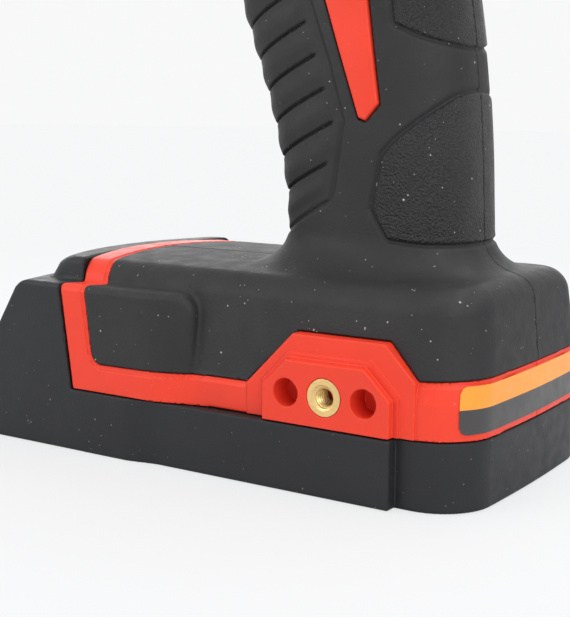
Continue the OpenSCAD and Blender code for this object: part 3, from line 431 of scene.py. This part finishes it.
def surface(field, low, high, step, shade=None, cuts=()):
    """Points, quads and normals of a field's zero surface, from a grid with that step.
    shade is the field without its cuts, so that no line shows where two pieces of one surface meet."""
    axes = [np.arange(a - 1.5 * step, b + 2.5 * step, step) for a, b in zip(low, high)]
    value = field(axes[0][:, None, None], axes[1][None, :, None], axes[2][None, None, :])
    value = np.array(np.broadcast_to(value, [len(a) for a in axes]), np.float32)
    inside = value < 0
    n = [s - 1 for s in value.shape]
    count = sum(inside[c[0]:c[0] + n[0], c[1]:c[1] + n[1], c[2]:c[2] + n[2]].astype(np.int8) for c in CORNERS)
    mixed = (count > 0) & (count < 8)
    cells = np.argwhere(mixed)
    number = np.full(mixed.shape, -1, np.int64)
    number[mixed] = np.arange(len(cells))
    total, hits = np.zeros((len(cells), 3)), np.zeros(len(cells))
    for a, b in EDGES:
        va, vb = value[tuple((cells + a).T)], value[tuple((cells + b).T)]
        cross = (va < 0) != (vb < 0)
        t = va / np.where(cross, va - vb, 1)
        total += np.where(cross[:, None], a + (b - a) * t[:, None], 0)
        hits += cross
    p = np.array([a[0] for a in axes]) + step * (cells + total / hits[:, None])
    for _ in range(3):
        g = gradient(field, p)
        s = field(p[:, 0], p[:, 1], p[:, 2])
        move = -s[:, None] * g / np.maximum((g * g).sum(1), 0.2)[:, None]
        size = np.linalg.norm(move, axis=1, keepdims=True)
        p = p + move * np.minimum(1, 0.5 * step / np.maximum(size, 1e-9))
    quads = []
    for axis in range(3):
        u, v = (axis + 1) % 3, (axis + 2) % 3
        flags = np.moveaxis(inside, (axis, u, v), (0, 1, 2))
        index = np.moveaxis(number, (axis, u, v), (0, 1, 2))
        change = flags[:-1, 1:-1, 1:-1] != flags[1:, 1:-1, 1:-1]
        i, j, k = np.nonzero(change)
        ring = np.stack([index[i, j, k], index[i, j + 1, k], index[i, j + 1, k + 1], index[i, j, k + 1]], 1)
        out = flags[i, j + 1, k + 1]
        quads.append(np.where(out[:, None], ring, ring[:, ::-1]))
    p = settle_on_cuts(p, shade or field, cuts, step)
    normal = gradient(shade or field, p)
    normal /= np.maximum(np.linalg.norm(normal, axis=1, keepdims=True), 1e-9)
    return p, np.concatenate(quads), normal


def make_mesh(name, points, quads, normals, materials, pick=None):
    """A smooth mesh object from arrays in millimetres. pick gives each face its material."""
    mesh = bpy.data.meshes.new(name)
    mesh.vertices.add(len(points))
    mesh.vertices.foreach_set("co", (points * MM).astype(np.float32).ravel())
    mesh.loops.add(quads.size)
    mesh.loops.foreach_set("vertex_index", quads.astype(np.int32).ravel())
    mesh.polygons.add(len(quads))
    mesh.polygons.foreach_set("loop_start", np.arange(0, quads.size, quads.shape[1], dtype=np.int32))
    mesh.update(calc_edges=True)
    for m in materials:
        mesh.materials.append(m)
    if pick is not None:
        centre = points[quads].mean(1)
        mesh.polygons.foreach_set("material_index", pick(centre).astype(np.int32))
    mesh.polygons.foreach_set("use_smooth", np.ones(len(quads), bool))
    if normals is not None:
        mesh.normals_split_custom_set_from_vertices(normals.tolist())
    mesh.validate()
    piece = bpy.data.objects.new(name, mesh)
    bpy.context.scene.collection.objects.link(piece)
    return piece


def field_piece(name, field, low, high, step, materials, pick=None, shade=None, cuts=()):
    coarse = 1.0
    points, quads, normals = surface(field, low, high, step * coarse, shade, cuts)
    print(name, len(quads) * 2, "triangles")
    return make_mesh(name, points, quads, normals, materials, pick)


# ---------- materials ----------


def linear(c):
    return [v / 12.92 if v <= 0.04045 else ((v + 0.055) / 1.055) ** 2.4 for v in (x / 255 for x in c)] + [1]


def finish(name, colour, rough, metal=0.0, grain=(900, 0.06), tone=0.06, specks=0.0, coat=0.0, brush=0.0,
           gloss=0.5):
    """A moulded or metal surface: tone varies over it, fine grain in the bump, dust as pale specks."""
    m = bpy.data.materials.new(name)
    m.use_nodes = True
    tree = m.node_tree
    shader = tree.nodes["Principled BSDF"]
    shader.inputs["Metallic"].default_value = metal
    shader.inputs["Coat Weight"].default_value = coat
    shader.inputs["Specular IOR Level"].default_value = gloss
    place = tree.nodes.new("ShaderNodeTexCoord")

    def noise(scale, detail=3.0, stretch=None):
        node = tree.nodes.new("ShaderNodeTexNoise")
        node.inputs["Scale"].default_value = scale
        node.inputs["Detail"].default_value = detail
        source = place.outputs["Object"]
        if stretch:
            turn = tree.nodes.new("ShaderNodeMapping")
            turn.inputs["Scale"].default_value = stretch
            tree.links.new(source, turn.inputs["Vector"])
            source = turn.outputs["Vector"]
        tree.links.new(source, node.inputs["Vector"])
        return node.outputs["Fac"]

    def spread(source, low, high, out_low, out_high):
        node = tree.nodes.new("ShaderNodeMapRange")
        for key, v in zip(("From Min", "From Max", "To Min", "To Max"), (low, high, out_low, out_high)):
            node.inputs[key].default_value = v
        tree.links.new(source, node.inputs["Value"])
        return node.outputs["Result"]

    def mix(factor, a, b):
        node = tree.nodes.new("ShaderNodeMix")
        node.data_type = "RGBA"
        tree.links.new(factor, node.inputs["Factor"])
        for key, v in (("A", a), ("B", b)):
            slot = [s for s in node.inputs if s.name == key and s.type == "RGBA"][0]
            if isinstance(v, list):
                slot.default_value = v
            else:
                tree.links.new(v, slot)
        return [s for s in node.outputs if s.type == "RGBA"][0]

    base = linear(colour)
    dark = [v * (1 - tone) for v in base[:3]] + [1]
    light = [min(v * (1 + tone), 1) for v in base[:3]] + [1]
    colour_out = mix(spread(noise(60), 0.35, 0.65, 0, 1), dark, light)
    if specks:
        cells = tree.nodes.new("ShaderNodeTexVoronoi")
        cells.inputs["Scale"].default_value = 620
        tree.links.new(place.outputs["Object"], cells.inputs["Vector"])
        size = spread(noise(330, 1.0), 0.44, 0.8, 0.0, 0.18)
        near = tree.nodes.new("ShaderNodeMath")
        near.operation = "LESS_THAN"
        tree.links.new(cells.outputs["Distance"], near.inputs[0])
        tree.links.new(size, near.inputs[1])
        amount = spread(near.outputs[0], 0, 1, 0, specks)
        colour_out = mix(amount, colour_out, linear((205, 200, 188)))
    tree.links.new(colour_out, shader.inputs["Base Color"])
    stretch = (1, 1, brush) if brush else None
    tree.links.new(spread(noise(240, 4.0, stretch), 0.3, 0.7, max(rough - 0.07, 0.02), min(rough + 0.07, 1)),
                   shader.inputs["Roughness"])
    bump = tree.nodes.new("ShaderNodeBump")
    bump.inputs["Strength"].default_value = 1.0
    bump.inputs["Distance"].default_value = grain[1] * MM
    tree.links.new(noise(grain[0], 2.0, stretch), bump.inputs["Height"])
    tree.links.new(bump.outputs["Normal"], shader.inputs["Normal"])
    return m


RED = finish("red_plastic", (228, 62, 40), 0.42, grain=(1500, 0.03), tone=0.035, specks=0.1, gloss=0.28)
RUBBER_BLACK = finish("black_rubber", (38, 38, 39), 0.6, grain=(1500, 0.10), tone=0.10, specks=0.5, gloss=0.3)
PAD_BLACK = finish("grained_rubber", (29, 29, 30), 0.46, grain=(2100, 0.8), tone=0.2, specks=0.85, gloss=0.4)
PACK_BLACK = finish("pack_plastic", (37, 38, 40), 0.5, grain=(1600, 0.05), tone=0.05, specks=0.2, gloss=0.26)
BRASS = finish("brass", (224, 192, 132), 0.4, metal=1.0, grain=(1500, 0.12), tone=0.1)
STEEL = finish("steel", (186, 188, 190), 0.32, metal=1.0, grain=(800, 0.02), tone=0.05)
DARK_STEEL = finish("blackened_steel", (70, 71, 74), 0.38, metal=1.0, grain=(900, 0.03), tone=0.1)
ALLOY = finish("cast_alloy", (150, 152, 155), 0.5, metal=1.0, grain=(600, 0.1), tone=0.06)
COPPER = finish("enamelled_copper", (184, 96, 52), 0.32, metal=1.0, grain=(300, 0.12), tone=0.15, brush=0.15)
BOARD = finish("circuit_board", (34, 74, 48), 0.4, grain=(700, 0.03), tone=0.12)
CELL = finish("cell_wrap", (92, 140, 190), 0.35, grain=(400, 0.03), tone=0.05)
LENS = finish("clear_lens", (226, 232, 236), 0.12, grain=(400, 0.01), tone=0.02, coat=0.6)
WIRE = finish("wire_insulation", (160, 40, 36), 0.4, grain=(500, 0.03), tone=0.08)
GREY = finish("grey_plastic", (120, 122, 126), 0.45, grain=(1200, 0.04), tone=0.05)
ORANGE = finish("blank_label_orange", (243, 152, 45), 0.38, grain=(500, 0.015), tone=0.03, specks=0.1)
LABEL_DARK = finish("blank_label_dark", (58, 56, 56), 0.4, grain=(500, 0.015), tone=0.05, specks=0.1)
CHIP = finish("chip_black", (30, 30, 32), 0.4, grain=(500, 0.02), tone=0.05)

NODE_FINISH = {
    "left_housing": RED, "right_housing": RED, "left_overmould": RUBBER_BLACK, "right_overmould": RUBBER_BLACK,
    "left_clip_insert": BRASS, "right_clip_insert": BRASS, "housing_screws": DARK_STEEL,
    "rear_end_cap": PACK_BLACK, "blank_label": ORANGE, "work_light_lens": LENS, "light_board": BOARD,
    "trigger_switch": CHIP, "control_board": BOARD, "terminal_block": CHIP, "terminal_blades": BRASS,
    "wiring": WIRE, "gearcase": ALLOY, "ring_gear_1": STEEL, "stator_core": DARK_STEEL,
    "stator_windings": COPPER, "motor_plate": ALLOY, "motor_bearings": STEEL, "spindle_bearing": STEEL,
    "trigger": RED, "trigger_spring": STEEL, "direction_selector": PACK_BLACK, "speed_selector": PACK_BLACK,
    "shift_fork": STEEL, "ring_gear_2": STEEL, "clutch_collar": PACK_BLACK, "clutch_spring": STEEL,
    "rotor_core": DARK_STEEL, "motor_shaft": STEEL, "cooling_fan": GREY, "motor_pinion": STEEL,
    "carrier_1": STEEL, "output_spindle": STEEL, "chuck_body": DARK_STEEL, "chuck_screw": STEEL,
    "chuck_sleeve": PACK_BLACK, "chuck_nut": STEEL, "jaw_a": STEEL, "jaw_b": STEEL, "jaw_c": STEEL,
    "pack_base": PACK_BLACK, "pack_cover": PACK_BLACK, "pack_cells": CELL, "pack_board": BOARD,
    "pack_contacts": BRASS, "pack_screws": DARK_STEEL, "release_latch": PACK_BLACK, "latch_spring": STEEL,
    "gauge_button": GREY, "gauge_window": LENS}


def paint_nodes():
    for name, node in nodes.items():
        material = NODE_FINISH.get(name, STEEL)
        node.data.materials.clear()
        node.data.materials.append(material)


# ---------- pieces ----------


def pick_pads(centre):
    x, z = centre[:, 0], centre[:, 2]
    pads = np.minimum(outline(x, z, LOWER_PAD), outline(x, z, UPPER_PAD))
    return (pads < -0.4) & (z > 48)


def side_box(side, x0, x1, width, z0, z1):
    y = (0, width) if side > 0 else (-width, 0)
    return (x0, y[0], z0), (x1, y[1], z1)


def rubber_pieces(side, name):
    zones = (("foot", side_box(side, -89, 24, 39, 15, 50), lower_body, 0.5, (-99, 50)),
             ("grip", side_box(side, -80, 22, 32, 50, 150), whole_body, 0.43, (50, 150)),
             ("rear", side_box(side, -88, -40, 32, 150, 212), upper_body, 0.6, (150, 999)))
    for zone, (low, high), body, step, (z0, z1) in zones:
        whole = rubber_field(side, body)

        def field(x, y, z, whole=whole, z0=z0, z1=z1):
            return np.maximum(whole(x, y, z), np.maximum(z0 - z, z - z1))
        piece = field_piece(f"{name}_{zone}", field, low, high, step, [RUBBER_BLACK, PAD_BLACK], pick_pads,
                            shade=whole, cuts=((2, z0), (2, z1)))
        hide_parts(name)
        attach(piece, "tool")


def red_pieces(side, name):
    low, high = side_box(side, -89, 28, 39, 15, 54)
    foot_piece = field_piece(f"{name}_foot", red_foot_field(side), low, high, 0.47, [RED])
    low, high = side_box(side, -80, 5, 22, 53, 140)
    core = field_piece(f"{name}_core", core_field(side), low, high, 0.9, [RED])
    low, high = side_box(side, -58, -29, 21, 78, 138)
    wedge = field_piece(f"{name}_inlay", wedge_field(side), low, high, 0.35, [RED])
    top = upper_housing(name)
    for piece in (foot_piece, core, wedge, top):
        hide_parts(name)
        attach(piece, "tool")


def upper_housing(name, cut_z=140.0):
    """The CAD housing above the grip, closed where it is cut under the rubber skin."""
    mesh = nodes[name].data.copy()
    bm = bmesh.new()
    bm.from_mesh(mesh)
    bmesh.ops.remove_doubles(bm, verts=bm.verts, dist=2e-6)
    cut = bmesh.ops.bisect_plane(bm, geom=bm.verts[:] + bm.edges[:] + bm.faces[:], dist=1e-7,
                                 plane_co=(0, 0, cut_z * MM), plane_no=(0, 0, 1), clear_inner=True)
    edges = [e for e in cut["geom_cut"] if isinstance(e, bmesh.types.BMEdge) and e.is_boundary]
    bmesh.ops.triangle_fill(bm, use_beauty=True, edges=edges)
    bm.to_mesh(mesh)
    bm.free()
    mesh.name = f"{name}_top"
    mesh.shade_smooth()
    mesh.set_sharp_from_angle(angle=math.radians(32))
    mesh.materials.clear()
    mesh.materials.append(RED)
    piece = bpy.data.objects.new(f"{name}_top", mesh)
    bpy.context.scene.collection.objects.link(piece)
    return piece


def pack_pieces():
    base = field_piece("pack_base_shell", base_field, (-89.5, -38.6, 0), (BLOCK_REAR, 38.6, PACK_TOP), 0.55,
                       [PACK_BLACK], shade=lambda x, y, z: base_field(x, y, z, cut=False),
                       cuts=((0, BLOCK_REAR - 0.01),))
    cover = field_piece("pack_cover_shell", cover_field, (-83, -38.6, 0), (58, 38.6, 47), 0.62,
                        [PACK_BLACK], shade=lambda x, y, z: cover_field(x, y, z, cut=False),
                        cuts=((0, BLOCK_REAR),))
    for piece, node in ((base, "pack_base"), (cover, "pack_cover")):
        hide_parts(node)
        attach(piece, "battery_pack")


def insert_pieces(side, name):
    """Brass insert with a cut thread: the bore's wall rises and falls along a helix."""
    low, high = [np.array(c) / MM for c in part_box(name)]
    radius, pitch, depth = (high[0] - low[0]) / 2, 0.8, 0.42

    def field(x, y, z):
        u, v, w = x - CLIP_X, z - CLIP_Z, side * y
        r = np.hypot(u, v)
        turn = (w / pitch + np.arctan2(v, u) / (2 * np.pi)) % 1.0
        thread = depth * np.abs(2 * turn - 1)
        bore = 1.95 + thread + 0.9 * np.maximum(w - (BOSS_Y - 0.75), 0)
        ends = np.maximum(w - (BOSS_Y - 0.12), 31 - w)
        return round_and(np.maximum(r - radius, bore - r), ends, 0.15)
    piece = field_piece(f"{name}_threaded", field, low, high, 0.13, [BRASS])
    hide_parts(name)
    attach(piece, "tool")


def label_piece():
    """The bare sticker that wraps the rear of the foot: two plain fields, no printing."""
    z0, z1, rows, columns, thick = 16.9, 27.0, 22, 200, 0.28
    centre_x, reach, corner = -76.0, math.radians(75.5), 1.6
    angle = np.linspace(-reach, reach, columns)
    height = np.linspace(z0, z1, rows)
    a, z = [g.ravel() for g in np.meshgrid(angle, height, indexing="ij")]
    from_end = np.clip((reach - np.abs(a)) * 31, 0, corner)
    inset = corner - np.sqrt(corner ** 2 - (corner - from_end) ** 2)
    z = z0 + inset + (z - z0) * (z1 - z0 - 2 * inset) / (z1 - z0)
    r0, r1 = np.full(a.shape, 5.0), np.full(a.shape, 60.0)
    for _ in range(40):
        r = (r0 + r1) / 2
        inside = foot_plan(centre_x - r * np.cos(a), r * np.sin(a), z) < 0.02
        r0, r1 = np.where(inside, r, r0), np.where(inside, r1, r)
    skin = []
    for offset in (0.0, thick):
        skin.append(np.stack([centre_x - (r0 + offset) * np.cos(a), (r0 + offset) * np.sin(a), z], 1))
    points = np.concatenate(skin)
    index = np.arange(columns * rows).reshape(columns, rows)
    quads = [np.stack([index[:-1, :-1], index[1:, :-1], index[1:, 1:], index[:-1, 1:]], -1).reshape(-1, 4)]
    count = columns * rows
    outer = quads[0] + count
    rim = []
    loop = list(index[:, 0]) + list(index[-1, 1:]) + list(index[-2::-1, -1]) + list(index[0, -2:0:-1])
    for p, q in zip(loop, loop[1:] + loop[:1]):
        rim.append([q, p, p + count, q + count])
    split = z0 + 0.52 * (z1 - z0)
    faces = np.concatenate([quads[0], outer[:, ::-1], np.array(rim)])
    piece = make_mesh("blank_label_sheet", points, faces, None, [ORANGE, LABEL_DARK], lambda c: c[:, 2] < split)
    bm = bmesh.new()
    bm.from_mesh(piece.data)
    bmesh.ops.recalc_face_normals(bm, faces=bm.faces)
    bm.to_mesh(piece.data)
    bm.free()
    piece.data.set_sharp_from_angle(angle=math.radians(40))
    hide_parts("blank_label")
    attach(piece, "tool")


# ---------- stage ----------


def look_at(obj, target):
    obj.rotation_euler = (Vector(target) - obj.location).to_track_quat("-Z", "Y").to_euler()


def make_camera():
    yaw, pitch, roll = (math.radians(v) for v in (-56.268, 9.073, 0.242))
    forward = Vector((math.cos(yaw) * math.cos(pitch), math.sin(yaw) * math.cos(pitch), -math.sin(pitch)))
    right = Vector((math.sin(yaw), -math.cos(yaw), 0))
    up = right.cross(forward)
    turned_right = right * math.cos(roll) + up * math.sin(roll)
    turned_up = up * math.cos(roll) - right * math.sin(roll)
    data = bpy.data.cameras.new("camera")
    data.sensor_fit = "VERTICAL"
    data.sensor_height = 36
    data.lens = 36 * 1264 / 617
    data.clip_start = 0.01
    camera = bpy.data.objects.new("camera", data)
    axes = Matrix((turned_right, turned_up, -forward)).transposed()
    camera.matrix_world = Matrix.Translation(Vector((-193.561, 258.951, 83.21)) * MM) @ axes.to_4x4()
    bpy.context.scene.collection.objects.link(camera)
    bpy.context.scene.camera = camera


def area_light(name, location, target, size, power):
    data = bpy.data.lights.new(name, "AREA")
    data.shape = "RECTANGLE"
    data.size, data.size_y = size
    data.energy = power
    light = bpy.data.objects.new(name, data)
    light.location = location
    bpy.context.scene.collection.objects.link(light)
    look_at(light, target)


def pale_where_seen(tree, surface_out, output, strength):
    """Shows plain white to the camera and to gloss, mixed with the lit surface that keeps the shadow."""
    path = tree.nodes.new("ShaderNodeLightPath")
    glow = tree.nodes.new("ShaderNodeEmission")
    glow.inputs["Color"].default_value = (0.92, 0.93, 0.935, 1)
    mix = tree.nodes.new("ShaderNodeMixShader")
    place = tree.nodes.new("ShaderNodeTexCoord")
    length = tree.nodes.new("ShaderNodeVectorMath")
    length.operation = "LENGTH"
    far = tree.nodes.new("ShaderNodeMapRange")
    for key, v in (("From Min", 0.1), ("From Max", 0.45), ("To Min", strength), ("To Max", 1.0)):
        far.inputs[key].default_value = v
    scale = tree.nodes.new("ShaderNodeMath")
    scale.operation = "MULTIPLY"
    tree.links.new(place.outputs["Object"], length.inputs[0])
    tree.links.new(length.outputs["Value"], far.inputs["Value"])
    tree.links.new(far.outputs["Result"], scale.inputs[1])
    tree.links.new(path.outputs["Is Camera Ray"], scale.inputs[0])
    tree.links.new(scale.outputs[0], mix.inputs["Fac"])
    tree.links.new(surface_out, mix.inputs[1])
    tree.links.new(glow.outputs[0], mix.inputs[2])
    tree.links.new(mix.outputs[0], output.inputs["Surface"])


def make_stage():
    mesh = bpy.data.meshes.new("floor")
    mesh.from_pydata([(-4, -4, 0), (4, -4, 0), (4, 4, 0), (-4, 4, 0)], [], [(0, 1, 2, 3)])
    floor = bpy.data.objects.new("floor", mesh)
    bpy.context.scene.collection.objects.link(floor)
    m = bpy.data.materials.new("floor_white")
    m.use_nodes = True
    shader = m.node_tree.nodes["Principled BSDF"]
    shader.inputs["Base Color"].default_value = (0.68, 0.685, 0.69, 1)
    shader.inputs["Roughness"].default_value = 0.8
    pale_where_seen(m.node_tree, shader.outputs[0], m.node_tree.nodes["Material Output"], 0.72)
    mesh.materials.append(m)
    world = bpy.data.worlds.new("world")
    bpy.context.scene.world = world
    world.use_nodes = True
    tree = world.node_tree
    fill = tree.nodes["Background"]
    fill.inputs["Color"].default_value = (0.95, 0.97, 1.0, 1)
    fill.inputs["Strength"].default_value = 0.55
    seen = tree.nodes.new("ShaderNodeBackground")
    seen.inputs["Color"].default_value = (0.935, 0.94, 0.94, 1)
    seen.inputs["Strength"].default_value = 1.0
    path = tree.nodes.new("ShaderNodeLightPath")
    either = tree.nodes.new("ShaderNodeMath")
    either.operation = "MAXIMUM"
    tree.links.new(path.outputs["Is Camera Ray"], either.inputs[0])
    tree.links.new(path.outputs["Is Glossy Ray"], either.inputs[1])
    mix = tree.nodes.new("ShaderNodeMixShader")
    tree.links.new(either.outputs[0], mix.inputs["Fac"])
    tree.links.new(fill.outputs[0], mix.inputs[1])
    tree.links.new(seen.outputs[0], mix.inputs[2])
    tree.links.new(mix.outputs[0], tree.nodes["World Output"].inputs["Surface"])
    area_light("overhead", (-0.1, -0.1, 0.9), (-0.03, 0, 0.08), (1.0, 0.8), 9)
    area_light("rear_side", (-0.75, 0.45, 0.5), (-0.05, 0, 0.07), (0.6, 0.5), 3.5)
    area_light("front_side", (0.5, 0.7, 0.45), (0.0, 0, 0.07), (0.7, 0.5), 2.6)
    area_light("behind", (0.42, -0.7, 0.25), (0.0, 0, 0.05), (0.9, 0.3), 1.6)


# ---------- build ----------

bpy.context.scene.view_settings.view_transform = "Standard"
paint_nodes()
for half, word in ((1, "left"), (-1, "right")):
    rubber_pieces(half, f"{word}_overmould")
    red_pieces(half, f"{word}_housing")
    insert_pieces(half, f"{word}_clip_insert")
pack_pieces()
label_piece()
make_stage()
make_camera()
